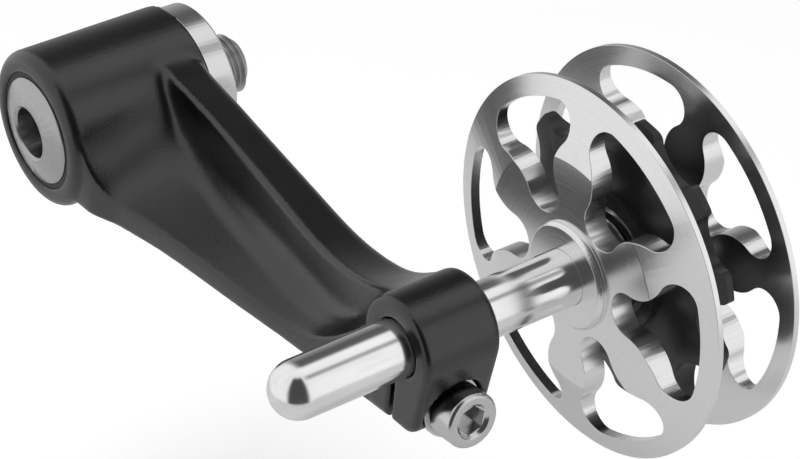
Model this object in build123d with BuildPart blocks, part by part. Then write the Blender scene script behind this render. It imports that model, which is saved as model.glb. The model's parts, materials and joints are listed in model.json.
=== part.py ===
"""Bicycle chain tensioner: a sprung forged arm on a hanger stud, carrying one chain pulley.

The frame: the origin is on the pivot axis where the stud's shoulder meets the frame hanger.
+Y runs along the stud into the hanger, +X along the arm to the pulley axis, and +Z is up.
The pulley axis is parallel to the pivot axis. All sizes are in millimetres.
"""

import os
from collections import namedtuple
from math import acos, atan2, cos, hypot, pi, radians, sin, tan

from build123d import *

os.makedirs("parts", exist_ok=True)

# Clearances
RUNNING = 0.03      # radial gap of a shaft that turns in its bore
SLIDING = 0.04      # radial gap of the pulley axle in its clamp
END_PLAY = 0.05     # gap between flat faces that turn past each other
SEAT = 0.02         # radial gap of pieces that are only located

# Pivot bolt with its hanger stud
STUD_RADIUS = 5.0
STUD_LENGTH = 7.0
STUD_TIP = 0.8
SHANK_RADIUS = 6.0
HEAD_RADIUS = 8.8
HEAD_THICKNESS = 4.5
HEAD_EDGE = 0.25
HEAD_RISE = 1.2             # the head's face is a low cone that stands this far out at its mouth
KEY_FLATS = 6.0
KEY_DEPTH = 4.5
MOUTH_RADIUS = 4.1
MOUTH_DEPTH = 5.0
MOUTH_CHAMFER = 0.45

# Spring collar against the hanger, with its retaining ring and thrust washer
COLLAR_RADIUS = 12.1
COLLAR_THICKNESS = 4.3
COLLAR_CHAMFER = 0.45
FLAT_REACH = 11.3           # pivot axis to each wrench flat
FLAT_DEPTH = 2.6            # how far the flats run in from the rear face
FLAT_ANGLE = -9.0           # direction of the first flat from +X towards +Z
SPIGOT_RADIUS = 9.2
SPIGOT_LENGTH = 4.2
RING_RECESS = 1.1
RING_THICKNESS = 0.8
RING_RADIUS = 7.6
RING_GROOVE_RADIUS = 5.5
RING_GAP = 3.0
THRUST_THICKNESS = 0.4

# Boss of the arm, with the spring chamber, bushes and seal
BOSS_RADIUS = 12.9
BOSS_LENGTH = 25.85
RIM_ROUND = 2.0
CHAMBER_RADIUS = 10.4
FRONT_WALL = 3.5
SEAL_WIDTH = 0.85
SEAL_RECESS = 0.4
BUSH_WALL = 0.6
BUSH_FLANGE = 0.8
WIRE_RADIUS = 0.85
SPRING_TURNS = 5.0
LEG_CIRCLE = 7.8            # pivot axis to the middle of the spring's wire
LEG_LENGTH = 2.2

# Reach of the arm, and the clamp at its end
AXLE_REACH = 88.4
AXLE_RADIUS = 4.3
CLAMP_RADIUS = 7.55
CLAMP_LENGTH = 12.7
CLAMP_SETBACK = 6.55        # boss's rear face to the clamp's rear face
CLAMP_EDGE = 0.9
LUG_DROP = 13.4             # pulley axis to the underside of the clamp
LUG_START = 12.6            # the same at the side where the lug comes out of the web
LUG_ROUND = 3.0
LUG_LEAN = 20.0             # degrees by which the lug's outer side slopes inwards
SLIT_WIDTH = 0.94
SLIT_LEAN = 12.0            # degrees from straight down, towards the pivot
SCREW_DROP = 10.3           # pulley axis to the clamp screw's axis
SCREW_SEAT = 3.0            # pulley axis to the seat under the washer
SCREW_RADIUS = 2.5
SCREW_LENGTH = 12.0
SCREW_HEAD_RADIUS = 4.25
SCREW_HEAD_HEIGHT = 5.0
SCREW_HEAD_EDGE = 0.7
SCREW_KEY_FLATS = 4.0
SCREW_KEY_DEPTH = 2.6
SCREW_MOUTH = 2.75          # radius of the key hole's mouth
SCREW_MOUTH_DEPTH = 0.5
SCREW_MOUTH_TAPER = 45.0
WASHER_RADIUS = 4.7
WASHER_THICKNESS = 0.9
SPOT_GAP = 0.3              # seat's rim to the washer
BORE_MOUTH = 0.4
SCREW_TIP = 0.5
TAP_END = 1.0               # tapped holes run on this far past their screws
SCREW_KEY_TURN = 15.0

# Roundings of the web between boss and clamp
ARM_EDGE = 0.9
RIM_EDGE = 0.8
CREST_EDGE = 0.9
CREST_SHARE = 0.45          # of the crest's height over the root, the most its rounding takes
ARM_BACK_EDGE = 2.2

# Pulley axle
TIP_LENGTH = 20.3           # clamp's front face to the domed end
HUB_GAP = 16.7              # clamp's rear face to the front plate's hub
JOURNAL_RADIUS = 4.0
SHOULDER_DEPTH = 1.2

# Side plates
PLATE_RADIUS = 29.0
PLATE_EDGE = 0.9
PLATE_THICKNESS = 3.7
PLATE_GAP = 12.8
CREASE_RADIUS = 18.2        # where the flat face turns into the cone
HUB_RADIUS = 8.2
HUB_RISE = 1.05
HUB_CHAMFER = 0.5
WINDOW_COUNT = 6
WINDOW_TURN = -4.0          # direction of the front plate's first window from +X towards +Z
REAR_TURN = -20.0           # the same for the rear plate
WINDOW_OUTER = 26.0
WINDOW_INNER = 9.4
INNER_LOBE = 3.5
CORNER_LOBE = 3.2
CORNER_ANGLE = 16.0
SPOKE_ARC = 6.5
SPACER_RADIUS = 7.0
SPACER_TIP_RADIUS = 5.9
SPACER_TIP = 0.7

# Chain pulley and its bearing
CHAIN_PITCH = 12.7
ROLLER_RADIUS = 3.97
ROLLER_GAP = 0.1
TIP_ROUND = 1.0
TEETH = 11
TOOTH_TURN = 10.5           # direction of the first tooth from +X towards +Z
TIP_RADIUS = 23.3
TIP_HALF_WIDTH = 0.6
BODY_RADIUS = 17.5
BODY_HALF_WIDTH = 2.5
NAVE_RADIUS = 10.8
NAVE_PROUD = 0.3            # how far the nave's faces stand past the bearing's
BEARING_RADIUS = 9.5
BEARING_WIDTH = 6.0
BEARING_LIP = 0.8
RACE_WALL = 1.9
BALL_RADIUS = 1.6
BALL_COUNT = 8
CAGE_HALF_WALL = 0.5
CAGE_HALF_WIDTH = 2.1
RING_EDGE = 0.3
SHIELD_GAP = 0.3            # shields to the inner ring
SHIELD_THICKNESS = 0.5
SHIELD_RECESS = 0.2

# End screw and washer of the axle
END_SCREW_RADIUS = 2.5
END_SCREW_LENGTH = 10.0
END_HEAD_RADIUS = 4.75
END_HEAD_HEIGHT = 2.75
BUTTON_EDGE = 0.6
BUTTON_FLAT = 2.6
END_KEY_FLATS = 3.0
END_KEY_DEPTH = 1.6
END_WASHER_RADIUS = 6.5
END_WASHER_THICKNESS = 1.0
JOURNAL_SHORT = 0.5         # journal ends this far inside the rear plate's hub

# Stations along Y
COLLAR_FRONT = -COLLAR_THICKNESS
THRUST_FRONT = COLLAR_FRONT - THRUST_THICKNESS
BOSS_REAR = THRUST_FRONT - END_PLAY
BOSS_FRONT = BOSS_REAR - BOSS_LENGTH
HEAD_FRONT = BOSS_FRONT - HEAD_RISE
HEAD_REAR = BOSS_FRONT + HEAD_THICKNESS
FLANGE_FRONT = HEAD_REAR + END_PLAY
WALL_FRONT = FLANGE_FRONT + BUSH_FLANGE
WALL_REAR = WALL_FRONT + FRONT_WALL
SPIGOT_FRONT = COLLAR_FRONT - SPIGOT_LENGTH
CLAMP_REAR = BOSS_REAR - CLAMP_SETBACK
CLAMP_FRONT = CLAMP_REAR - CLAMP_LENGTH
HUB_FRONT = CLAMP_REAR + HUB_GAP
FLAT_FACE = HUB_FRONT + HUB_RISE
PLATE_BACK = FLAT_FACE + PLATE_THICKNESS
MIDPLANE = PLATE_BACK + PLATE_GAP / 2
BEARING_FRONT = MIDPLANE - BEARING_WIDTH / 2
HUB_REAR = 2 * MIDPLANE - HUB_FRONT
SHOULDER = HUB_FRONT + SHOULDER_DEPTH
JOURNAL_END = HUB_REAR - JOURNAL_SHORT
AXLE_END = CLAMP_FRONT - TIP_LENGTH

PULLEY_AXIS = Axis((AXLE_REACH, 0, 0), (0, 1, 0))


def facing(y, x=0.0):
    """A plane across the pivot axis at y: its own axes are +X and +Z, and it looks towards -Y."""
    return Plane(origin=(x, y, 0), x_dir=(1, 0, 0), z_dir=(0, -1, 0))


def turn(profile, x=0.0, mode=Mode.ADD):
    """Turn an outline of (radius, y) pairs about the axis through x."""
    with BuildSketch(Plane.XY) as outline:
        with BuildLine():
            Polyline(*[(x + radius, y) for radius, y in profile], close=True)
        make_face()
    revolve(outline.sketch, axis=Axis((x, 0, 0), (0, 1, 0)), mode=mode)


def tube(inner, outer, start, end, x=0.0, chamfer=0.0):
    """Turn a ring from y = start to y = end, with both outer edges chamfered."""
    turn([(inner, start), (outer - chamfer, start), (outer, start + chamfer),
          (outer, end - chamfer), (outer - chamfer, end), (inner, end)]
         if chamfer else [(inner, start), (outer, start), (outer, end), (inner, end)], x)


def finish(piece, name):
    """Label a finished piece and write it out."""
    piece.part.label = name
    export_step(piece.part, f"parts/{name}.step")


# Pivot bolt: a low conical head, a shank for the bushes and the stud that screws into the hanger
ring_groove_end = -RING_RECESS + RING_THICKNESS
mouth_edge = MOUTH_RADIUS + MOUTH_CHAMFER
with BuildPart() as pivot_bolt:
    turn([(0, HEAD_FRONT), (mouth_edge, HEAD_FRONT), (HEAD_RADIUS - HEAD_EDGE, BOSS_FRONT),
          (HEAD_RADIUS, BOSS_FRONT + HEAD_EDGE), (HEAD_RADIUS, HEAD_REAR), (SHANK_RADIUS, HEAD_REAR),
          (SHANK_RADIUS, -RING_RECESS), (RING_GROOVE_RADIUS, -RING_RECESS),
          (RING_GROOVE_RADIUS, ring_groove_end), (SHANK_RADIUS, ring_groove_end), (SHANK_RADIUS, 0),
          (STUD_RADIUS, 0), (STUD_RADIUS, STUD_LENGTH - STUD_TIP), (STUD_RADIUS - STUD_TIP, STUD_LENGTH),
          (0, STUD_LENGTH)])
    turn([(0, HEAD_FRONT), (mouth_edge, HEAD_FRONT), (MOUTH_RADIUS, HEAD_FRONT + MOUTH_CHAMFER),
          (MOUTH_RADIUS, HEAD_FRONT + MOUTH_DEPTH), (0, HEAD_FRONT + MOUTH_DEPTH)], mode=Mode.SUBTRACT)
    with BuildSketch(facing(HEAD_FRONT)):
        RegularPolygon(KEY_FLATS / 2, 6, major_radius=False)
    extrude(amount=-(MOUTH_DEPTH + KEY_DEPTH), mode=Mode.SUBTRACT)
finish(pivot_bolt, "pivot_bolt")

# Spring collar: a flange on the hanger with two wrench flats, and a spigot inside the boss
collar_bore = SHANK_RADIUS + SEAT
with BuildPart() as spring_collar:
    turn([(collar_bore, SPIGOT_FRONT), (SPIGOT_RADIUS, SPIGOT_FRONT), (SPIGOT_RADIUS, COLLAR_FRONT),
          (COLLAR_RADIUS, COLLAR_FRONT), (COLLAR_RADIUS, -COLLAR_CHAMFER),
          (COLLAR_RADIUS - COLLAR_CHAMFER, 0), (RING_RADIUS + SEAT, 0), (RING_RADIUS + SEAT, -RING_RECESS),
          (collar_bore, -RING_RECESS)])
    for side in (0, 180):
        with BuildSketch(facing(0)):
            with Locations(Rotation(0, 0, FLAT_ANGLE + side)):
                with Locations((FLAT_REACH + COLLAR_RADIUS / 2, 0)):
                    Rectangle(COLLAR_RADIUS, 2 * COLLAR_RADIUS)
        extrude(amount=FLAT_DEPTH, mode=Mode.SUBTRACT)
    with BuildSketch(facing(SPIGOT_FRONT)):
        with Locations((0, -LEG_CIRCLE)):
            Circle(WIRE_RADIUS + SEAT)
    extrude(amount=-LEG_LENGTH - SEAT, mode=Mode.SUBTRACT)
finish(spring_collar, "spring_collar")

# Retaining ring: an open ring in the shank's groove, in the collar's rear recess
with BuildPart() as retaining_ring:
    tube(RING_GROOVE_RADIUS + SEAT, RING_RADIUS, -RING_RECESS, ring_groove_end)
    with BuildSketch(facing(ring_groove_end)):
        with Locations((0, -RING_RADIUS)):
            Rectangle(RING_GAP, RING_RADIUS)
    extrude(amount=RING_THICKNESS, mode=Mode.SUBTRACT)
finish(retaining_ring, "retaining_ring")

# Thrust washer between the collar and the boss
with BuildPart() as thrust_washer:
    tube(SPIGOT_RADIUS + SEAT, COLLAR_RADIUS - SEAL_WIDTH, THRUST_FRONT, COLLAR_FRONT)
finish(thrust_washer, "thrust_washer")

# Torsion spring: its rear leg is held in the collar and its front leg in the boss's front wall
coil_start = SPIGOT_FRONT - WIRE_RADIUS - END_PLAY
coil_end = WALL_REAR + WIRE_RADIUS + END_PLAY
coil_pitch = (coil_start - coil_end) / SPRING_TURNS
with BuildPart() as torsion_spring:
    with BuildLine():
        coil = Helix(coil_pitch, coil_start - coil_end, LEG_CIRCLE,
                     center=(0, coil_start, 0), direction=(0, -1, 0))
    with BuildSketch(Plane(origin=coil @ 0, z_dir=coil % 0)):
        Circle(WIRE_RADIUS)
    sweep(path=coil)
    for end, amount in ((0, LEG_LENGTH + WIRE_RADIUS), (1, -LEG_LENGTH - WIRE_RADIUS)):
        with BuildSketch(Plane(origin=coil @ end, x_dir=(1, 0, 0), z_dir=(0, 1, 0))):
            Circle(WIRE_RADIUS)
        extrude(amount=amount)
finish(torsion_spring, "torsion_spring")

# Bushes: a flanged one under the bolt's head and a plain ring round the collar's spigot
front_bush_bore = SHANK_RADIUS + RUNNING
front_bush_outer = front_bush_bore + BUSH_WALL
with BuildPart() as front_bush:
    turn([(front_bush_bore, FLANGE_FRONT), (HEAD_RADIUS, FLANGE_FRONT), (HEAD_RADIUS, WALL_FRONT),
          (front_bush_outer, WALL_FRONT), (front_bush_outer, WALL_REAR), (front_bush_bore, WALL_REAR)])
finish(front_bush, "front_bush")

with BuildPart() as rear_bush:
    tube(SPIGOT_RADIUS + RUNNING, CHAMBER_RADIUS, SPIGOT_FRONT + END_PLAY, BOSS_REAR)
finish(rear_bush, "rear_bush")

# Dust seal: a soft ring round the bolt's head, sunk a little below the boss's face
seal_inner = HEAD_RADIUS + RUNNING
seal_outer = seal_inner + SEAL_WIDTH
with BuildPart() as dust_seal:
    tube(seal_inner, seal_outer, BOSS_FRONT + SEAL_RECESS, FLANGE_FRONT)
finish(dust_seal, "dust_seal")

# Arm: one forging with the pivot boss, a web of angle section and the split clamp.
# In each section of the web, at is a share of the arm's reach, front and back are shares of the way
# from the boss's end faces to the clamp's, root and crest are shares of the depth between those two,
# and the heights and the fillet are shares of the boss's radius.
Section = namedtuple("Section", "at front back rim root root_z crest crest_z top under fillet")
SECTIONS = [
    Section(0.09, 0.2, 0.02, 0.69, 0.69, 0.713, 0.705, 0.76, 0.752, -0.744, 0.023),
    Section(0.118, 0.18, 0.03, 0.519, 0.685, 0.55, 0.7, 0.69, 0.659, -0.767, 0.047),
    Section(0.14, 0.18, 0.04, 0.256, 0.68, 0.333, 0.695, 0.659, 0.605, -0.775, 0.093),
    Section(0.158, 0.21, 0.06, -0.093, 0.677, 0.147, 0.691, 0.643, 0.566, -0.779, 0.155),
    Section(0.181, 0.29, 0.08, -0.302, 0.671, 0.008, 0.684, 0.62, 0.535, -0.783, 0.217),
    Section(0.209, 0.39, 0.115, -0.419, 0.661, -0.124, 0.674, 0.589, 0.504, -0.787, 0.248),
    Section(0.249, 0.475, 0.16, -0.473, 0.65, -0.248, 0.668, 0.535, 0.465, -0.798, 0.279),
    Section(0.294, 0.545, 0.22, -0.504, 0.639, -0.333, 0.659, 0.473, 0.419, -0.806, 0.31),
    Section(0.543, 0.77, 0.54, -0.643, 0.517, -0.504, 0.576, 0.178, 0.147, -0.891, 0.388),
    Section(0.679, 0.88, 0.71, -0.698, 0.429, -0.574, 0.5, 0.054, 0.023, -0.938, 0.388),
    Section(0.769, 0.94, 0.8, -0.605, 0.354, -0.496, 0.437, 0.078, 0.023, -0.977, 0.31),
    Section(0.848, 0.99, 0.89, -0.326, 0.289, -0.248, 0.378, 0.186, 0.124, -1, 0.194),
    Section(0.916, 1.02, 0.98, 0.016, 0.233, 0.124, 0.295, 0.357, 0.341, -1.016, 0.062),
    Section(0.967, 1.03, 1.03, 0.465, 0.157, 0.481, 0.197, 0.504, 0.496, -1.023, 0.016),
]


def web_section(cut):
    """One rounded angle section of the web, as a face across the arm."""
    front = BOSS_FRONT + cut.front * (CLAMP_FRONT - BOSS_FRONT)
    back = BOSS_REAR + cut.back * (CLAMP_REAR - BOSS_REAR)
    root = front + cut.root * (back - front)
    crest = front + cut.crest * (back - front)
    rim, root_z, crest_z, top, under, inner = (share * BOSS_RADIUS for share in (
        cut.rim, cut.root_z, cut.crest_z, cut.top, cut.under, cut.fillet))
    corners = [((front, under), ARM_EDGE), ((front, rim), RIM_EDGE), ((root, root_z), inner),
               ((crest, crest_z), min(CREST_EDGE, CREST_SHARE * (crest_z - root_z))),
               ((back, top), ARM_BACK_EDGE), ((back, under), ARM_BACK_EDGE)]
    with BuildSketch(Plane.YZ.offset(cut.at * AXLE_REACH)) as section:
        with BuildLine():
            Polyline(*[point for point, rounding in corners], close=True)
        make_face()
        for point, rounding in corners:
            fillet(section.vertices().sort_by_distance(Vector(*point))[0], rounding)
    return section.sketch.face()


lean = radians(LUG_LEAN)
flank_x = CLAMP_RADIUS * cos(lean)
flank_z = -CLAMP_RADIUS * sin(lean)
foot_x = flank_x - (LUG_DROP + flank_z) * tan(lean)
seat_x = AXLE_REACH + SCREW_SEAT
screw_y = (CLAMP_REAR + CLAMP_FRONT) / 2
head_x = seat_x + WASHER_THICKNESS
slit_length = LUG_DROP / cos(radians(SLIT_LEAN)) + SLIT_WIDTH
with BuildPart() as clamp_block:
    with BuildSketch(facing(CLAMP_FRONT, AXLE_REACH)) as clamp_outline:
        Circle(CLAMP_RADIUS)
        with BuildLine():
            Polyline((-CLAMP_RADIUS, 0), (0, 0), (flank_x, flank_z), (foot_x, -LUG_DROP),
                     (-CLAMP_RADIUS, -LUG_START), close=True)
        make_face()
        fillet(clamp_outline.vertices().sort_by_distance(Vector(foot_x, -LUG_DROP))[0], LUG_ROUND)
    extrude(amount=-CLAMP_LENGTH)
    faces_across = clamp_block.faces().sort_by(Axis.Y)
    fillet(faces_across[0].edges() + faces_across[-1].edges(), CLAMP_EDGE)

with BuildPart() as boss_block:
    with BuildSketch(facing(BOSS_FRONT)):
        Circle(BOSS_RADIUS)
    extrude(amount=-BOSS_LENGTH)
    fillet(boss_block.edges().sort_by(Axis.Y)[0], RIM_ROUND)

with BuildPart() as arm:
    loft([web_section(cut) for cut in SECTIONS])
    add(boss_block.part)
    add(clamp_block.part)
    # Spring chamber, bush seat, head pocket and the hole for the spring's leg
    for radius, start, end in ((CHAMBER_RADIUS, WALL_REAR, BOSS_REAR),
                               (front_bush_outer, WALL_FRONT, WALL_REAR),
                               (seal_outer, BOSS_FRONT, WALL_FRONT)):
        turn([(0, start), (radius, start), (radius, end), (0, end)], mode=Mode.SUBTRACT)
    with BuildSketch(facing(WALL_REAR)):
        with Locations((0, -LEG_CIRCLE)):
            Circle(WIRE_RADIUS + SEAT)
    extrude(amount=LEG_LENGTH + SEAT, mode=Mode.SUBTRACT)
    # Axle bore with its two mouths, slit, screw holes and washer seat
    bore = AXLE_RADIUS + SLIDING
    turn([(0, BOSS_FRONT), (bore + BORE_MOUTH, BOSS_FRONT), (bore + BORE_MOUTH, CLAMP_FRONT),
          (bore, CLAMP_FRONT + BORE_MOUTH), (bore, CLAMP_REAR - BORE_MOUTH), (bore + BORE_MOUTH, CLAMP_REAR),
          (bore + BORE_MOUTH, BOSS_REAR), (0, BOSS_REAR)], AXLE_REACH, mode=Mode.SUBTRACT)
    with BuildSketch(facing(CLAMP_FRONT, AXLE_REACH)):
        with Locations(Rotation(0, 0, -SLIT_LEAN)):
            with Locations((0, -slit_length / 2)):
                Rectangle(SLIT_WIDTH, slit_length)
    extrude(amount=-CLAMP_LENGTH, mode=Mode.SUBTRACT)
    with BuildSketch(Plane.YZ.offset(seat_x)):
        with Locations((screw_y, -SCREW_DROP)):
            Circle(WASHER_RADIUS + SPOT_GAP)
    extrude(amount=CLAMP_RADIUS, mode=Mode.SUBTRACT)
    with BuildSketch(Plane.YZ.offset(head_x)):
        with Locations((screw_y, -SCREW_DROP)):
            Circle(SCREW_RADIUS + SEAT)
    extrude(amount=-SCREW_LENGTH - TAP_END, mode=Mode.SUBTRACT)
finish(arm, "arm")

# Clamp screw and its washer
with BuildPart() as clamp_washer:
    with BuildSketch(Plane.YZ.offset(seat_x)):
        with Locations((screw_y, -SCREW_DROP)):
            Circle(WASHER_RADIUS)
            Circle(SCREW_RADIUS + SEAT, mode=Mode.SUBTRACT)
    extrude(amount=WASHER_THICKNESS)
finish(clamp_washer, "clamp_washer")

with BuildPart() as clamp_screw:
    with BuildSketch(Plane.YZ.offset(head_x)):
        with Locations((screw_y, -SCREW_DROP)):
            Circle(SCREW_RADIUS)
    extrude(amount=-SCREW_LENGTH)
    chamfer(clamp_screw.edges().sort_by(Axis.X)[0], SCREW_TIP)
    with BuildSketch(Plane.YZ.offset(head_x)):
        with Locations((screw_y, -SCREW_DROP)):
            Circle(SCREW_HEAD_RADIUS)
    extrude(amount=SCREW_HEAD_HEIGHT)
    fillet(clamp_screw.edges().sort_by(Axis.X)[-1], SCREW_HEAD_EDGE)
    with BuildSketch(Plane.YZ.offset(head_x + SCREW_HEAD_HEIGHT)):
        with Locations((screw_y, -SCREW_DROP)):
            RegularPolygon(SCREW_KEY_FLATS / 2, 6, major_radius=False, rotation=SCREW_KEY_TURN)
    extrude(amount=-SCREW_KEY_DEPTH, mode=Mode.SUBTRACT)
    with BuildSketch(Plane.YZ.offset(head_x + SCREW_HEAD_HEIGHT)):
        with Locations((screw_y, -SCREW_DROP)):
            Circle(SCREW_MOUTH)
    extrude(amount=-SCREW_MOUTH_DEPTH, taper=SCREW_MOUTH_TAPER, mode=Mode.SUBTRACT)
finish(clamp_screw, "clamp_screw")

# Pulley axle: a domed rod with a shoulder, a bearing journal and a tapped rear end
dome_centre = AXLE_END + AXLE_RADIUS
with BuildPart() as pulley_axle:
    with BuildSketch(Plane.XY):
        with BuildLine():
            dome = ThreePointArc((AXLE_REACH, AXLE_END),
                                 (AXLE_REACH + AXLE_RADIUS * sin(pi / 4),
                                  dome_centre - AXLE_RADIUS * cos(pi / 4)),
                                 (AXLE_REACH + AXLE_RADIUS, dome_centre))
            Polyline(dome @ 1, (AXLE_REACH + AXLE_RADIUS, SHOULDER), (AXLE_REACH + JOURNAL_RADIUS, SHOULDER),
                     (AXLE_REACH + JOURNAL_RADIUS, JOURNAL_END), (AXLE_REACH, JOURNAL_END), dome @ 0)
        make_face()
    revolve(axis=PULLEY_AXIS)
    with BuildSketch(facing(JOURNAL_END, AXLE_REACH)):
        Circle(END_SCREW_RADIUS + SEAT)
    extrude(amount=END_SCREW_LENGTH + TAP_END, mode=Mode.SUBTRACT)
finish(pulley_axle, "pulley_axle")

# Side plates: dished discs with six windows between lobed spokes
window_axis = WINDOW_INNER + INNER_LOBE
corner_x = (WINDOW_OUTER - CORNER_LOBE) * cos(radians(CORNER_ANGLE))
corner_y = (WINDOW_OUTER - CORNER_LOBE) * sin(radians(CORNER_ANGLE))
inner_reach = INNER_LOBE + SPOKE_ARC
corner_reach = CORNER_LOBE + SPOKE_ARC
centres = hypot(corner_x - window_axis, corner_y)
swing = acos((inner_reach ** 2 + centres ** 2 - corner_reach ** 2) / (2 * inner_reach * centres))
swing += atan2(corner_y, corner_x - window_axis)
spoke_x = window_axis + inner_reach * cos(swing)
spoke_y = inner_reach * sin(swing)
lobe_end = (window_axis + INNER_LOBE * cos(swing), INNER_LOBE * sin(swing))
corner_start = (corner_x + (spoke_x - corner_x) * CORNER_LOBE / corner_reach,
                corner_y + (spoke_y - corner_y) * CORNER_LOBE / corner_reach)
corner_end = (WINDOW_OUTER * cos(radians(CORNER_ANGLE)), WINDOW_OUTER * sin(radians(CORNER_ANGLE)))


with BuildSketch() as window:
    with BuildLine():
        inner_arc = TangentArc((WINDOW_INNER, 0), lobe_end, tangent=(0, 1))
        spoke_arc = TangentArc(lobe_end, corner_start, tangent=inner_arc % 1)
        corner_arc = TangentArc(corner_start, corner_end, tangent=spoke_arc % 1)
        TangentArc(corner_end, (WINDOW_OUTER, 0), tangent=corner_arc % 1)
        mirror(about=Plane.XZ)
    make_face()


def side_plate(side, shoulder, first_window):
    """Turn and pierce one side plate: side is -1 at the front and +1 at the rear."""
    hub, flat, back = MIDPLANE - HUB_FRONT, MIDPLANE - FLAT_FACE, MIDPLANE - PLATE_BACK
    bore = JOURNAL_RADIUS + SEAT
    with BuildPart() as plate:
        turn([(radius, MIDPLANE + side * y) for radius, y in (
            (bore, hub), (HUB_RADIUS - HUB_CHAMFER, hub), (HUB_RADIUS, hub - HUB_CHAMFER), (HUB_RADIUS, flat),
            (CREASE_RADIUS, flat), (PLATE_RADIUS, back + PLATE_EDGE), (PLATE_RADIUS, back), (bore, back))],
             AXLE_REACH)
        if shoulder:
            turn([(radius, MIDPLANE + side * y) for radius, y in (
                (0, hub), (shoulder, hub), (shoulder, hub - SHOULDER_DEPTH), (0, hub - SHOULDER_DEPTH))],
                 AXLE_REACH, mode=Mode.SUBTRACT)
        with BuildSketch(facing(MIDPLANE, AXLE_REACH)):
            with PolarLocations(0, WINDOW_COUNT, start_angle=first_window):
                add(window.sketch)
        extrude(amount=-side * hub, mode=Mode.SUBTRACT)
    return plate


front_plate = side_plate(-1, AXLE_RADIUS + SEAT, WINDOW_TURN)
finish(front_plate, "front_plate")
rear_plate = side_plate(1, 0, REAR_TURN)
finish(rear_plate, "rear_plate")

# Spacers between the plates and the bearing's inner ring
for side, name in ((-1, "front_spacer"), (1, "rear_spacer")):
    with BuildPart() as spacer:
        turn([(radius, MIDPLANE + side * y) for radius, y in (
            (JOURNAL_RADIUS + SEAT, PLATE_GAP / 2), (SPACER_RADIUS, PLATE_GAP / 2),
            (SPACER_RADIUS, BEARING_WIDTH / 2 + SPACER_TIP),
            (SPACER_TIP_RADIUS, BEARING_WIDTH / 2 + SPACER_TIP),
            (SPACER_TIP_RADIUS, BEARING_WIDTH / 2), (JOURNAL_RADIUS + SEAT, BEARING_WIDTH / 2))], AXLE_REACH)
    finish(spacer, name)

# Chain pulley: a turned disc with bevelled flanks, cut to roller-shaped tooth gaps
pitch_radius = CHAIN_PITCH / 2 / sin(pi / TEETH)
nave_bore = BEARING_RADIUS + SEAT
nave_half_width = BEARING_WIDTH / 2 + NAVE_PROUD
with BuildPart() as pulley_wheel:
    turn([(nave_bore, MIDPLANE - nave_half_width), (NAVE_RADIUS, MIDPLANE - nave_half_width),
          (NAVE_RADIUS, MIDPLANE - BODY_HALF_WIDTH), (BODY_RADIUS, MIDPLANE - BODY_HALF_WIDTH),
          (TIP_RADIUS, MIDPLANE - TIP_HALF_WIDTH), (TIP_RADIUS, MIDPLANE + TIP_HALF_WIDTH),
          (BODY_RADIUS, MIDPLANE + BODY_HALF_WIDTH), (NAVE_RADIUS, MIDPLANE + BODY_HALF_WIDTH),
          (NAVE_RADIUS, MIDPLANE + nave_half_width), (nave_bore, MIDPLANE + nave_half_width)],
         AXLE_REACH)
    turn([(BEARING_RADIUS - BEARING_LIP, MIDPLANE - nave_half_width), (nave_bore, MIDPLANE - nave_half_width),
          (nave_bore, BEARING_FRONT), (BEARING_RADIUS - BEARING_LIP, BEARING_FRONT)], AXLE_REACH)
    with BuildSketch(facing(MIDPLANE - BODY_HALF_WIDTH, AXLE_REACH)):
        with PolarLocations(pitch_radius, TEETH, start_angle=TOOTH_TURN + 180 / TEETH):
            Circle(ROLLER_RADIUS + ROLLER_GAP)
    extrude(amount=-2 * BODY_HALF_WIDTH, mode=Mode.SUBTRACT)
    tips = [edge for edge in pulley_wheel.edges().filter_by(Axis.Y) if edge.length < 3 * TIP_HALF_WIDTH]
    fillet(tips, TIP_ROUND)
finish(pulley_wheel, "pulley_wheel")

# Ball bearing: two rings with ball grooves, balls in a cage, and a shield on each side
ball_circle = (JOURNAL_RADIUS + BEARING_RADIUS) / 2
groove_radius = BALL_RADIUS + RUNNING
inner_bore = JOURNAL_RADIUS + SEAT
outer_track = BEARING_RADIUS - RACE_WALL
bearing_rear = MIDPLANE + BEARING_WIDTH / 2


def ball_groove(mode):
    """Turn the ring-shaped space round the circle of balls."""
    with BuildSketch(Plane.XY) as groove:
        with Locations((AXLE_REACH + ball_circle, MIDPLANE)):
            Circle(groove_radius)
    revolve(groove.sketch, axis=PULLEY_AXIS, mode=mode)


with BuildPart() as bearing_inner_ring:
    tube(inner_bore, inner_bore + RACE_WALL, BEARING_FRONT, bearing_rear, AXLE_REACH, RING_EDGE)
    ball_groove(Mode.SUBTRACT)
finish(bearing_inner_ring, "bearing_inner_ring")

with BuildPart() as bearing_outer_ring:
    tube(outer_track, BEARING_RADIUS, BEARING_FRONT, bearing_rear, AXLE_REACH, RING_EDGE)
    ball_groove(Mode.SUBTRACT)
finish(bearing_outer_ring, "bearing_outer_ring")

with BuildPart() as bearing_balls:
    with Locations(Plane(origin=(AXLE_REACH, MIDPLANE, 0), x_dir=(1, 0, 0), z_dir=(0, -1, 0))):
        with PolarLocations(ball_circle, BALL_COUNT):
            Sphere(BALL_RADIUS)
finish(bearing_balls, "bearing_balls")

with BuildPart() as bearing_cage:
    tube(ball_circle - CAGE_HALF_WALL, ball_circle + CAGE_HALF_WALL, MIDPLANE - CAGE_HALF_WIDTH,
         MIDPLANE + CAGE_HALF_WIDTH, AXLE_REACH)
    with Locations(Plane(origin=(AXLE_REACH, MIDPLANE, 0), x_dir=(1, 0, 0), z_dir=(0, -1, 0))):
        with PolarLocations(ball_circle, BALL_COUNT):
            Cylinder(BALL_RADIUS + SEAT, 3 * CAGE_HALF_WALL, rotation=(0, 90, 0), mode=Mode.SUBTRACT)
finish(bearing_cage, "bearing_cage")

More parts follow.
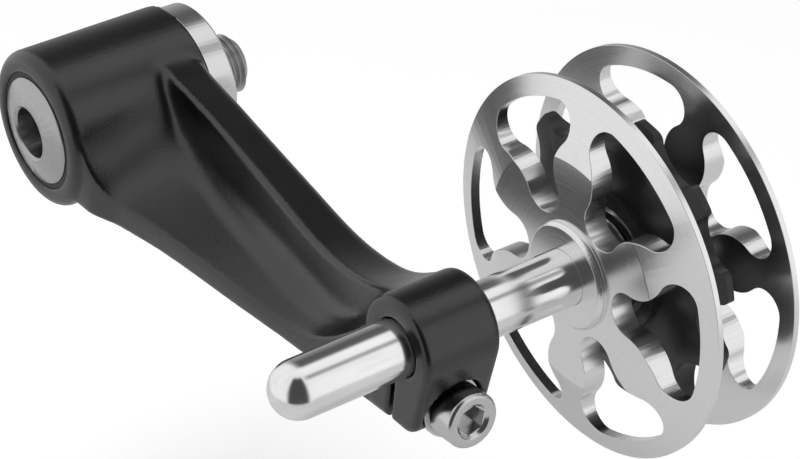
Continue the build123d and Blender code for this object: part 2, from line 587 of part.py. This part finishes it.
shield_inner = inner_bore + RACE_WALL + SHIELD_GAP
for side, name in ((-1, "front_shield"), (1, "rear_shield")):
    shield_face = MIDPLANE + side * (BEARING_WIDTH / 2 - SHIELD_RECESS)
    with BuildPart() as shield:
        turn([(shield_inner, shield_face), (outer_track - SEAT, shield_face),
              (outer_track - SEAT, shield_face - side * SHIELD_THICKNESS),
              (shield_inner, shield_face - side * SHIELD_THICKNESS)], AXLE_REACH)
    finish(shield, name)

# End washer and button-headed end screw that clamp the stack to the axle's shoulder
washer_rear = HUB_REAR + END_WASHER_THICKNESS
with BuildPart() as end_washer:
    tube(END_SCREW_RADIUS + SEAT, END_WASHER_RADIUS, HUB_REAR, washer_rear, AXLE_REACH, RING_EDGE)
finish(end_washer, "end_washer")

with BuildPart() as end_screw:
    with BuildSketch(Plane.XY):
        with BuildLine():
            head_top = washer_rear + END_HEAD_HEIGHT
            Polyline((AXLE_REACH + BUTTON_FLAT, head_top), (AXLE_REACH, head_top),
                     (AXLE_REACH, washer_rear - END_SCREW_LENGTH),
                     (AXLE_REACH + END_SCREW_RADIUS - SCREW_TIP, washer_rear - END_SCREW_LENGTH),
                     (AXLE_REACH + END_SCREW_RADIUS, washer_rear - END_SCREW_LENGTH + SCREW_TIP),
                     (AXLE_REACH + END_SCREW_RADIUS, washer_rear), (AXLE_REACH + END_HEAD_RADIUS, washer_rear),
                     (AXLE_REACH + END_HEAD_RADIUS, washer_rear + BUTTON_EDGE))
            RadiusArc((AXLE_REACH + END_HEAD_RADIUS, washer_rear + BUTTON_EDGE),
                      (AXLE_REACH + BUTTON_FLAT, head_top), -END_HEAD_RADIUS)
        make_face()
    revolve(axis=PULLEY_AXIS)
    with BuildSketch(facing(head_top, AXLE_REACH)):
        RegularPolygon(END_KEY_FLATS / 2, 6, major_radius=False)
    extrude(amount=END_KEY_DEPTH, mode=Mode.SUBTRACT)
finish(end_screw, "end_screw")
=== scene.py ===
"""A bicycle chain tensioner in a plain pale studio.

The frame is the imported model's: metres, the pivot axis along Y through the origin, the arm
along +X.
"""

import json
from math import cos, pi, radians

import bmesh
import bpy
from mathutils import Matrix, Vector


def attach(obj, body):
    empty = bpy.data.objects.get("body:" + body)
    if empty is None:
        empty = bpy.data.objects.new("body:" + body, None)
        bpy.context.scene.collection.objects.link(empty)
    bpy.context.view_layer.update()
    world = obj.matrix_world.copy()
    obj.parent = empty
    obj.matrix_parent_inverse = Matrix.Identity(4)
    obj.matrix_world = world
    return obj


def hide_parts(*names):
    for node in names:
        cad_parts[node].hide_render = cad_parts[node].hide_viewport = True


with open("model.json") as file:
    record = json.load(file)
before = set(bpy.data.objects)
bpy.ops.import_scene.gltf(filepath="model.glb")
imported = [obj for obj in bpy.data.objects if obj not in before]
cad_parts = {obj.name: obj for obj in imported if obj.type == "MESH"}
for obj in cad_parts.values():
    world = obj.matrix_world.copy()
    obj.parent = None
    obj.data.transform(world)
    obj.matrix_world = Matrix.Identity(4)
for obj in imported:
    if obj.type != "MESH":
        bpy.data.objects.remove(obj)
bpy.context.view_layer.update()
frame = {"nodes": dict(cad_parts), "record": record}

MM = 0.001
PIVOT = Vector((0.0, 0.0, 0.0))
PULLEY = Vector((88.4 * MM, 0.0, 0.0))
SCREW = Vector((0.0, -17.65 * MM, -10.3 * MM))
ALONG_PIVOT = Vector((0.0, 1.0, 0.0))
ALONG_SCREW = Vector((1.0, 0.0, 0.0))


# Materials: the helpers add nodes, and most return the socket that carries their result.
# Noise scales and turning marks are counted to a metre, and depths are in metres
NOISE_ROUGHNESS = 0.55
MARK_DETAIL = 3.0
ALL_DARK, ALL_LIGHT = 0.3, 0.7      # values at which a varied colour reaches its two ends
MARK_SHADE = 0.95                   # of a turned face's colour, in its marks


def grey(level):
    """A neutral colour."""
    return (level, level, level)


def add_node(owner, kind, inputs=(), **settings):
    """A node in a material or the world; an input is a plain value or another node's output."""
    tree = owner.node_tree
    node = tree.nodes.new(kind)
    for setting, value in settings.items():
        setattr(node, setting, value)
    for socket, value in dict(inputs).items():
        if isinstance(value, bpy.types.NodeSocket):
            tree.links.new(value, node.inputs[socket])
        else:
            node.inputs[socket].default_value = value
    return node


def shader_of(material):
    """The material's Principled shader."""
    return material.node_tree.nodes["Principled BSDF"]


def new_material(name, colour, metallic, roughness, **sockets):
    """A material with one Principled shader whose plain sockets are set directly."""
    material = bpy.data.materials.new(name)
    material.use_nodes = True
    shader = shader_of(material)
    shader.inputs["Base Color"].default_value = (*colour, 1.0)
    shader.inputs["Metallic"].default_value = metallic
    shader.inputs["Roughness"].default_value = roughness
    for socket, value in sockets.items():
        shader.inputs[socket.replace("_", " ")].default_value = value
    return material


def feed(material, socket, output):
    """A link from a helper's result to one of the shader's sockets."""
    material.node_tree.links.new(output, shader_of(material).inputs[socket])


def placed(material, centre=PIVOT, stretch=(1.0, 1.0, 1.0)):
    """Object coordinates counted from a centre and stretched along the axes."""
    coordinates = add_node(material, "ShaderNodeTexCoord")
    mapping = add_node(material, "ShaderNodeMapping", {
        "Vector": coordinates.outputs["Object"],
        "Location": [-part * share for part, share in zip(centre, stretch)],
        "Scale": stretch,
    }, vector_type="POINT")
    return mapping.outputs["Vector"]


def noise(material, place, scale, detail=4.0):
    """Three-dimensional noise."""
    node = add_node(material, "ShaderNodeTexNoise", {
        "Vector": place, "Scale": scale, "Detail": detail, "Roughness": NOISE_ROUGHNESS,
    }, noise_dimensions="3D")
    return node.outputs["Fac"]


def turning_marks(material, place, axis, marks):
    """Fine rings round an axis, uneven in width, as a lathe tool leaves them."""
    across = [0.0 if part else 1.0 for part in axis]
    flat = add_node(material, "ShaderNodeVectorMath", {0: place, 1: across}, operation="MULTIPLY")
    reach = add_node(material, "ShaderNodeVectorMath", {0: flat.outputs["Vector"]},
                     operation="LENGTH")
    rings = add_node(material, "ShaderNodeTexNoise", {
        "W": reach.outputs["Value"], "Scale": marks, "Detail": MARK_DETAIL,
    }, noise_dimensions="1D")
    return rings.outputs["Fac"]


def vary_roughness(material, value, less, more):
    """Roughness that wanders round the material's plain one."""
    plain = shader_of(material).inputs["Roughness"].default_value
    node = add_node(material, "ShaderNodeMapRange",
                    {"Value": value, "To Min": plain - less, "To Max": plain + more})
    feed(material, "Roughness", node.outputs["Result"])


def vary_colour(material, value, dark, light):
    """Colour that wanders between two others."""
    node = add_node(material, "ShaderNodeValToRGB", {"Fac": value})
    for end, position, colour in zip(node.color_ramp.elements, (ALL_DARK, ALL_LIGHT),
                                     (dark, light)):
        end.color = (*colour, 1.0)
        end.position = position
    feed(material, "Base Color", node.outputs["Color"])


def relief(material, *layers):
    """Bumps from (value, depth, strength) layers, one over the other."""
    below = {}
    for value, depth, strength in layers:
        bump = add_node(material, "ShaderNodeBump",
                        {"Height": value, "Distance": depth, "Strength": strength, **below})
        below = {"Normal": bump.outputs["Normal"]}
    feed(material, "Normal", below["Normal"])


def black_coat():
    """The arm's satin black coat, with a fine grain and slight cloudiness."""
    coat = new_material("satin_black_coat", grey(0.002), 0.0, 0.28, Specular_IOR_Level=0.80)
    place = placed(coat)
    vary_roughness(coat, noise(coat, place, scale=180.0), less=0.05, more=0.05)
    vary_colour(coat, noise(coat, place, scale=60.0), grey(0.0015), grey(0.003))
    grain = noise(coat, place, scale=2800.0, detail=3.0)
    waves = noise(coat, place, scale=420.0, detail=2.0)
    relief(coat, (grain, 0.034 * MM, 0.8), (waves, 0.012 * MM, 0.25))
    return coat


def turned_metal(name, colour, centre, axis, roughness, marks, depth):
    """Bright metal with the rings that turning leaves round an axis."""
    metal = new_material(name, colour, 1.0, roughness)
    place = placed(metal, centre)
    rings = turning_marks(metal, place, axis, marks)
    vary_roughness(metal, rings, less=0.03, more=0.04)
    vary_colour(metal, rings, [MARK_SHADE * part for part in colour], colour)
    grain = noise(metal, place, scale=900.0, detail=3.0)
    relief(metal, (rings, depth, 0.35), (grain, 0.001 * MM, 0.3))
    return metal


def polished_rod():
    """The axle's polished steel, with faint drawing marks along its length."""
    steel = new_material("polished_rod", grey(0.82), 1.0, 0.15)
    streaks = noise(steel, placed(steel, PULLEY, (1.0, 0.03, 1.0)), scale=1600.0, detail=3.0)
    clouds = noise(steel, placed(steel, PULLEY, (1.0, 0.15, 1.0)), scale=520.0)
    grain = noise(steel, placed(steel, PULLEY), scale=2600.0, detail=3.0)
    vary_roughness(steel, clouds, less=0.04, more=0.04)
    vary_colour(steel, clouds, grey(0.78), grey(0.90))
    relief(steel, (streaks, 0.002 * MM, 0.5), (grain, 0.001 * MM, 0.3))
    return steel


def plain_metal(name, colour, roughness):
    """Metal with a fine even grain."""
    metal = new_material(name, colour, 1.0, roughness)
    place = placed(metal)
    vary_roughness(metal, noise(metal, place, scale=700.0), less=0.06, more=0.08)
    relief(metal, (noise(metal, place, scale=1500.0, detail=3.0), 0.004 * MM, 0.4))
    return metal


def moulded(name, colour, roughness, grain):
    """Moulded plastic or rubber with a fine skin."""
    plastic = new_material(name, colour, 0.0, roughness)
    place = placed(plastic)
    vary_roughness(plastic, noise(plastic, place, scale=240.0), less=0.05, more=0.06)
    relief(plastic, (noise(plastic, place, scale=grain, detail=3.0), 0.008 * MM, 0.4))
    return plastic


arm_coat = black_coat()
bolt_steel = turned_metal("turned_bolt", grey(0.44), PIVOT, ALONG_PIVOT,
                          roughness=0.28, marks=2600.0, depth=0.0010 * MM)
collar_steel = turned_metal("turned_collar", grey(0.74), PIVOT, ALONG_PIVOT,
                            roughness=0.22, marks=2200.0, depth=0.0012 * MM)
plate_metal = turned_metal("turned_plate", grey(0.82), PULLEY, ALONG_PIVOT,
                           roughness=0.22, marks=2400.0, depth=0.0003 * MM)
stack_steel = turned_metal("turned_stack", grey(0.70), PULLEY, ALONG_PIVOT,
                           roughness=0.22, marks=2600.0, depth=0.0012 * MM)
screw_steel = turned_metal("turned_screw", grey(0.62), SCREW, ALONG_SCREW,
                           roughness=0.20, marks=2600.0, depth=0.0012 * MM)
axle_steel = polished_rod()
spring_wire = plain_metal("spring_wire", (0.30, 0.30, 0.31), roughness=0.36)
ring_steel = plain_metal("ring_steel", (0.34, 0.34, 0.35), roughness=0.32)
bearing_steel = plain_metal("ground_bearing", (0.62, 0.62, 0.63), roughness=0.14)
bush_bronze = plain_metal("sintered_bronze", (0.50, 0.33, 0.15), roughness=0.42)
pulley_black = moulded("pulley_black", grey(0.016), roughness=0.34, grain=1800.0)
seal_black = moulded("seal_black", grey(0.020), roughness=0.55, grain=2600.0)
shield_black = moulded("shield_black", (0.030, 0.030, 0.031), roughness=0.38, grain=2200.0)
cage_brown = moulded("cage_brown", (0.10, 0.08, 0.05), roughness=0.45, grain=1800.0)

FINISHES = {
    "arm": arm_coat,
    "pivot_bolt": bolt_steel,
    "spring_collar": collar_steel,
    "retaining_ring": ring_steel,
    "thrust_washer": bush_bronze,
    "torsion_spring": spring_wire,
    "front_bush": bush_bronze,
    "rear_bush": bush_bronze,
    "dust_seal": seal_black,
    "clamp_screw": screw_steel,
    "clamp_washer": screw_steel,
    "pulley_axle": axle_steel,
    "front_plate": plate_metal,
    "rear_plate": plate_metal,
    "front_spacer": stack_steel,
    "rear_spacer": stack_steel,
    "bearing_inner_ring": bearing_steel,
    "end_washer": stack_steel,
    "end_screw": stack_steel,
    "pulley_wheel": pulley_black,
    "bearing_outer_ring": bearing_steel,
    "front_shield": shield_black,
    "rear_shield": shield_black,
    "bearing_balls": bearing_steel,
    "bearing_cage": cage_brown,
}
for node_name, finish in FINISHES.items():
    node = frame["nodes"][node_name]
    node.data.materials.clear()
    node.data.materials.append(finish)


# Pieces that stand for a node: the same shape with its fine edges and threads added
WELD_REACH = 0.0005 * MM
FLAT_WITHIN = 0.4           # degrees between triangles of one flat face
SHARP_ANGLE = 32.0          # degrees between faces whose edge is broken
SLIGHT_ANGLE = 12.0         # the same where a face meets a shallow cone or flat
EDGE_STEPS = 2

# How far each kind of edge is broken
PLATE_EDGE = 0.11 * MM
TURNED_EDGE = 0.10 * MM
COLLAR_EDGE = 0.34 * MM
MOULDED_EDGE = 0.40 * MM
THREAD_EDGE = 0.06 * MM

# Node, the piece that stands for it, and the width and least angle of its broken edges
EDGED_PIECES = (
    ("front_plate", "front_side_plate", PLATE_EDGE, SLIGHT_ANGLE),
    ("rear_plate", "rear_side_plate", PLATE_EDGE, SLIGHT_ANGLE),
    ("pulley_wheel", "toothed_wheel", MOULDED_EDGE, SHARP_ANGLE),
    ("clamp_screw", "socket_screw", TURNED_EDGE, SHARP_ANGLE),
    ("clamp_washer", "screw_washer", TURNED_EDGE, SHARP_ANGLE),
    ("spring_collar", "hanger_collar", COLLAR_EDGE, SLIGHT_ANGLE),
)


def body_of(node_name):
    """The body that a node rides on."""
    for body, members in frame["record"]["behaviour"]["bodies"].items():
        if node_name in members:
            return body
    raise ValueError(node_name)


def welded_copy(node_name):
    """A node's mesh with its triangles joined into whole faces."""
    mesh = bmesh.new()
    mesh.from_mesh(frame["nodes"][node_name].data)
    bmesh.ops.remove_doubles(mesh, verts=mesh.verts, dist=WELD_REACH)
    bmesh.ops.dissolve_limit(mesh, angle_limit=radians(FLAT_WITHIN), verts=mesh.verts,
                             edges=mesh.edges, use_dissolve_boundaries=False, delimit={"NORMAL"})
    return mesh


def object_from(mesh, name):
    """An object at the origin made of a finished mesh."""
    data = bpy.data.meshes.new(name)
    mesh.to_mesh(data)
    mesh.free()
    item = bpy.data.objects.new(name, data)
    bpy.context.scene.collection.objects.link(item)
    return item


def piece_from(mesh, name, node_name, finish):
    """A piece made of a finished mesh, which replaces a node and rides where it does."""
    piece = object_from(mesh, name)
    piece.data.materials.append(finish)
    piece.data.polygons.foreach_set("use_smooth", [True] * len(piece.data.polygons))
    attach(piece, body_of(node_name))
    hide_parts(node_name)
    return piece


def break_edges(piece, width, angle):
    """Narrow bevels along the piece's sharp edges."""
    piece.data.set_sharp_from_angle(angle=radians(angle))
    bevel = piece.modifiers.new("broken_edges", "BEVEL")
    bevel.width = width
    bevel.segments = EDGE_STEPS
    bevel.limit_method = "ANGLE"
    bevel.angle_limit = radians(angle)
    bevel.harden_normals = True
    bevel.use_clamp_overlap = True


for node_name, piece_name, width, angle in EDGED_PIECES:
    piece = piece_from(welded_copy(node_name), piece_name, node_name, FINISHES[node_name])
    break_edges(piece, width, angle)


# Arm: the inner corners where the web runs into the boss and the clamp are rounded out, as forged
BOSS_RADIUS = 12.9 * MM
CLAMP_RADIUS = 7.55 * MM
BOSS_BLEND = 4.5 * MM
CLAMP_BLEND = 3.0 * MM
BLEND_FADE = 9.0 * MM       # how much further out the first rounds reach
OUTLINE_SLACK = 0.1 * MM
CLAMP_BLEND_END = 1.5 * MM  # how far before the axle's middle the clamp's blend stops
LUG_TOP = -9.0 * MM
HOLLOW_DEPTH = 0.0002 * MM
SKIN_SPACING = 0.37 * MM
BLEND_ROUNDS = 14
PASSES_PER_ROUND = 6
PASS_STRENGTH = 0.5


def near_a_joint(place, fade):
    """True close to where the web leaves the boss or meets the clamp, outside their bores."""
    from_boss = Vector((place.x, 0.0, place.z)).length - BOSS_RADIUS
    from_clamp = Vector((place.x - PULLEY.x, 0.0, place.z)).length - CLAMP_RADIUS
    at_boss = -OUTLINE_SLACK < from_boss < BOSS_BLEND + fade and place.x > 0.0
    at_clamp = (-OUTLINE_SLACK < from_clamp < CLAMP_BLEND + fade / 2
                and place.x < PULLEY.x - CLAMP_BLEND_END and place.z > LUG_TOP)
    return at_boss or at_clamp


def hollow(corner):
    """True where the skin bends inwards at a vertex."""
    around = [edge.other_vert(corner).co for edge in corner.link_edges]
    middle = sum(around, Vector()) / len(around)
    return (middle - corner.co).dot(corner.normal) > HOLLOW_DEPTH


def even_skin(node_name):
    """A node's shape in faces of even size."""
    blank = object_from(welded_copy(node_name), "blank")
    remesh = blank.modifiers.new("even_skin", "REMESH")
    remesh.mode = "VOXEL"
    remesh.voxel_size = SKIN_SPACING
    data = bpy.data.meshes.new_from_object(
        blank.evaluated_get(bpy.context.evaluated_depsgraph_get()))
    mesh = bmesh.new()
    mesh.from_mesh(data)
    bpy.data.meshes.remove(data)
    bpy.data.objects.remove(blank)
    return mesh


def forged_arm():
    """The arm with its inner corners filled by repeated smoothing, less so further out."""
    mesh = even_skin("arm")
    mesh.normal_update()
    for turn in range(BLEND_ROUNDS):
        fade = BLEND_FADE * (1.0 - turn / BLEND_ROUNDS)
        inner = [corner for corner in mesh.verts
                 if near_a_joint(corner.co, fade) and hollow(corner)]
        for _ in range(PASSES_PER_ROUND):
            bmesh.ops.smooth_vert(mesh, verts=inner, factor=PASS_STRENGTH,
                                  use_axis_x=True, use_axis_y=True, use_axis_z=True)
        mesh.normal_update()
    piece_from(mesh, "forged_arm", "arm", arm_coat)


forged_arm()


# Pivot bolt: the stud gets a core and a helical ridge for its thread
STUD_RADIUS = 5.0 * MM
CORE_RADIUS = 4.42 * MM
RIDGE_FOOT = CORE_RADIUS - 0.1 * MM
THREAD_PITCH = 1.0 * MM
THREAD_START = 0.35 * MM
CREST_START, CREST_END = 0.44, 0.56     # shares of the pitch
THREAD_TURNS = 5.6
STEPS_PER_TURN = 56
STUD_SLACK = 0.01 * MM


def threaded_bolt():
    """The pivot bolt with a cut thread on its stud."""
    mesh = welded_copy("pivot_bolt")
    for corner in mesh.verts:
        reach = Vector((corner.co.x, 0.0, corner.co.z))
        if corner.co.y > -STUD_SLACK and 0.0 < reach.length < STUD_RADIUS + STUD_SLACK:
            trimmed = reach * (CORE_RADIUS / STUD_RADIUS)
            corner.co.x, corner.co.z = trimmed.x, trimmed.z
    plain_faces = set(mesh.faces)
    profile = [mesh.verts.new((radius, THREAD_START + share * THREAD_PITCH, 0.0))
               for radius, share in ((RIDGE_FOOT, 0.0), (STUD_RADIUS, CREST_START),
                                     (STUD_RADIUS, CREST_END), (RIDGE_FOOT, 1.0))]
    rim = list(mesh.faces.new(profile).edges)
    swept = bmesh.ops.spin(mesh, geom=profile + rim, cent=PIVOT, axis=ALONG_PIVOT,
                           dvec=(0.0, THREAD_PITCH / STEPS_PER_TURN, 0.0),
                           angle=THREAD_TURNS * 2 * pi, steps=int(THREAD_TURNS * STEPS_PER_TURN),
                           use_merge=False, use_duplicate=False)
    last_corners = [part for part in swept["geom_last"] if isinstance(part, bmesh.types.BMVert)]
    bmesh.ops.contextual_create(mesh, geom=last_corners)
    ridge = [face for face in mesh.faces if face not in plain_faces]
    bmesh.ops.recalc_face_normals(mesh, faces=ridge)
    piece = piece_from(mesh, "threaded_bolt", "pivot_bolt", bolt_steel)
    break_edges(piece, THREAD_EDGE, SHARP_ANGLE)


threaded_bolt()


# Studio: a pale floor, a pale tent and soft lamps. Levels are brightness, and 1 is white
bpy.context.scene.view_settings.view_transform = "Standard"
FLOOR_HEIGHT = -78 * MM
FLOOR_REACH = 0.30
FLOOR_CENTRE = (-0.02, 0.03)
FLOOR_SIDES = 96
# What each kind of ray sees on top of the lit floor
FLOOR_GLOW = (("Is Camera Ray", 0.40), ("Is Transmission Ray", 0.40), ("Is Glossy Ray", 0.04))

FILL_LEVEL = 0.42           # what dull surfaces get from all round
# The back of the tent in a mirror: degrees from +X towards +Z, and the level there
TENT_PANELS = (
    (-180, 0.42), (-90, 0.45), (-35, 0.70), (-12, 1.0), (50, 1.0), (58, 0.40), (66, 0.40),
    (73, 1.0), (101, 1.0), (113, 0.12), (138, 0.10), (158, 0.26), (180, 0.42),
)
# The front of the tent in a mirror, which fades into the back between these values of y
FRONT_LEVEL = 0.93
FRONT_END, BACK_START = 0.05, 0.40
# The front's dark open side, in degrees either way of its middle, and the roof over it, by z
OPEN_SIDE = (0.829, -0.559, 0.0)
OPEN_HALF_ANGLE = 37.0
OPEN_EDGE = 9.0
OPEN_LEVEL = 0.07
ROOF_START, ROOF_END = 0.90, 0.99

LAMP_AIM = Vector((0.045, -0.005, 0.0))
# Each lamp's place, width, height and power in watts
LAMPS = {
    "overhead_lamp": ((-0.05, -0.10, 0.60), 0.42, 0.30, 1.5),
    "side_lamp": ((0.55, 0.35, 0.30), 0.30, 0.30, 0.6),
    "front_lamp": ((-0.25, -0.60, 0.25), 0.30, 0.30, 0.5),
}


def floor_glow(paper):
    """The floor's own light, which makes it white to the camera where no shadow falls."""
    rays = add_node(paper, "ShaderNodeLightPath").outputs
    total = 0.0
    for ray, level in FLOOR_GLOW:
        node = add_node(paper, "ShaderNodeMath", {0: rays[ray], 1: level, 2: total},
                        operation="MULTIPLY_ADD")
        total = node.outputs["Value"]
    return total


def pale_floor():
    """A wide round floor that keeps the part's shadow."""
    mesh = bmesh.new()
    bmesh.ops.create_circle(mesh, cap_ends=True, segments=FLOOR_SIDES, radius=FLOOR_REACH)
    bmesh.ops.translate(mesh, verts=mesh.verts, vec=(*FLOOR_CENTRE, FLOOR_HEIGHT))
    floor = object_from(mesh, "studio_floor")
    paper = new_material("studio_paper", grey(0.80), 0.0, 1.0, Specular_IOR_Level=0.0,
                         Emission_Color=(*grey(1.0), 1.0))
    feed(paper, "Emission Strength", floor_glow(paper))
    floor.data.materials.append(paper)


pale_floor()


def mixed(world, share, first, second):
    """A level between two others."""
    node = add_node(world, "ShaderNodeMix", {"Factor": share, "A": first, "B": second})
    return node.outputs["Result"]


def smooth_rise(world, value, start, end):
    """0 up to the start, 1 from the end on, and a smooth rise between."""
    node = add_node(world, "ShaderNodeMapRange",
                    {"Value": value, "From Min": start, "From Max": end},
                    interpolation_type="SMOOTHSTEP")
    return node.outputs["Result"]


def tent_back(world, parts):
    """Long panels side by side, by their angle about Y."""
    turn = add_node(world, "ShaderNodeMath", {0: parts["Z"], 1: parts["X"]}, operation="ARCTAN2")
    share = add_node(world, "ShaderNodeMapRange",
                     {"Value": turn.outputs["Value"], "From Min": -pi, "From Max": pi})
    tent = add_node(world, "ShaderNodeValToRGB", {"Fac": share.outputs["Result"]})
    panels = tent.color_ramp.elements
    while len(panels) < len(TENT_PANELS):
        panels.new(0.5)
    for panel, (angle, level) in zip(panels, TENT_PANELS):
        panel.position = (angle + 180) / 360
        panel.color = (*grey(level), 1.0)
    return tent.outputs["Color"]


def tent_front(world, direction, parts):
    """An even pale front with one dark open side below its roof."""
    compass = add_node(world, "ShaderNodeVectorMath", {0: direction, 1: (1.0, 1.0, 0.0)},
                       operation="MULTIPLY")
    heading = add_node(world, "ShaderNodeVectorMath", {0: compass.outputs["Vector"]},
                       operation="NORMALIZE")
    towards = add_node(world, "ShaderNodeVectorMath", {0: heading.outputs["Vector"], 1: OPEN_SIDE},
                       operation="DOT_PRODUCT")
    opening = smooth_rise(world, towards.outputs["Value"],
                          cos(radians(OPEN_HALF_ANGLE + OPEN_EDGE)),
                          cos(radians(OPEN_HALF_ANGLE - OPEN_EDGE)))
    roof = smooth_rise(world, parts["Z"], ROOF_START, ROOF_END)
    return mixed(world, roof, mixed(world, opening, FRONT_LEVEL, OPEN_LEVEL), FRONT_LEVEL)


def light_tent():
    """Surroundings: white to the camera and through glass, and in a mirror the tent."""
    world = bpy.data.worlds.new("studio_surround")
    bpy.context.scene.world = world
    world.use_nodes = True
    direction = add_node(world, "ShaderNodeTexCoord").outputs["Generated"]
    parts = add_node(world, "ShaderNodeSeparateXYZ", {"Vector": direction}).outputs
    depth = smooth_rise(world, parts["Y"], FRONT_END, BACK_START)
    mirrored = mixed(world, depth, tent_front(world, direction, parts), tent_back(world, parts))
    rays = add_node(world, "ShaderNodeLightPath").outputs
    level = mixed(world, rays["Is Glossy Ray"], FILL_LEVEL, mirrored)
    level = mixed(world, rays["Is Transmission Ray"], level, 1.0)
    level = mixed(world, rays["Is Camera Ray"], level, 1.0)
    background = world.node_tree.nodes["Background"]
    background.inputs["Color"].default_value = (*grey(1.0), 1.0)
    world.node_tree.links.new(level, background.inputs["Strength"])


light_tent()


def soft_lamp(name, place, width, height, power):
    """A soft box that looks at the part; mirrors show the tent's panels in its stead."""
    lamp = bpy.data.lights.new(name, "AREA")
    lamp.shape = "RECTANGLE"
    lamp.size = width
    lamp.size_y = height
    lamp.energy = power
    holder = bpy.data.objects.new(name, lamp)
    bpy.context.scene.collection.objects.link(holder)
    facing = (LAMP_AIM - Vector(place)).to_track_quat("-Z", "Y")
    holder.matrix_world = Matrix.Translation(place) @ facing.to_matrix().to_4x4()
    holder.visible_glossy = False


for lamp_name, settings in LAMPS.items():
    soft_lamp(lamp_name, *settings)


# Camera: the photograph's viewing angle, from a fit to its outlines
CAMERA_PLACE = (0.37398, -0.21588, 0.21662)
CAMERA_RIGHT = (0.58218, 0.81179, -0.04533)
CAMERA_UP = (-0.38276, 0.32283, 0.86561)
CAMERA_BACK = (0.71733, -0.48659, 0.49867)
camera_data = bpy.data.cameras.new("studio_camera")
camera_data.sensor_width = 36.0
camera_data.lens = 133.396
camera_data.clip_start = 0.01
camera = bpy.data.objects.new("studio_camera", camera_data)
bpy.context.scene.collection.objects.link(camera)
camera_turn = Matrix((CAMERA_RIGHT, CAMERA_UP, CAMERA_BACK)).transposed()
camera.matrix_world = Matrix.Translation(CAMERA_PLACE) @ camera_turn.to_4x4()
bpy.context.scene.camera = camera
